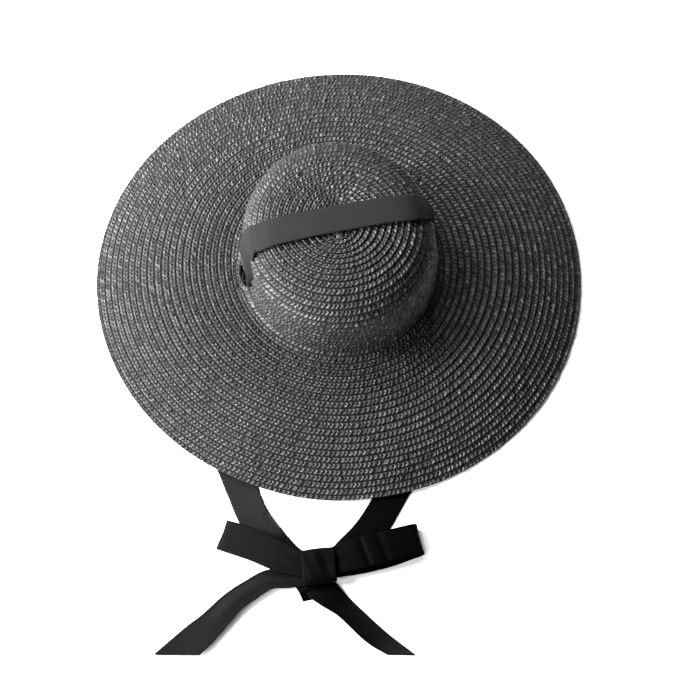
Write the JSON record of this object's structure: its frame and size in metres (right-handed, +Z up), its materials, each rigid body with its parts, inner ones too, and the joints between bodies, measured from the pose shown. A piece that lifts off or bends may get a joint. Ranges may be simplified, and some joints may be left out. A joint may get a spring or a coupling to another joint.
{
  "type": "wide-brim straw hat",
  "caption": "Wide-brim hat of sewn straw braid with a soft round crown and a drooping brim; a plain ribbon runs over the crown, through side slits, and ties in a bow in front.",
  "frame": {"origin": "on the crown's axis, at the level of the surface that the brim rests on", "axes": "+Z up out of the crown's top, +X towards the wearer's left ear, -Y towards the front, where the bow lies"},
  "size_m": [0.4709, 0.6114, 0.1088],
  "materials": {
    "straw": "glossy plaited straw braid, charcoal black",
    "ribbon": "smooth woven ribbon with a soft sheen, black"
  },
  "bodies": {
    "root": {"crown": "straw", "brim": "straw", "crown_ribbon": "ribbon", "tie_left": "ribbon", "tie_right": "ribbon", "bow_knot": "ribbon", "bow_loop_left": "ribbon", "bow_loop_right": "ribbon", "bow_tail_left": "ribbon", "bow_tail_right": "ribbon"}
  },
  "joints": []
}
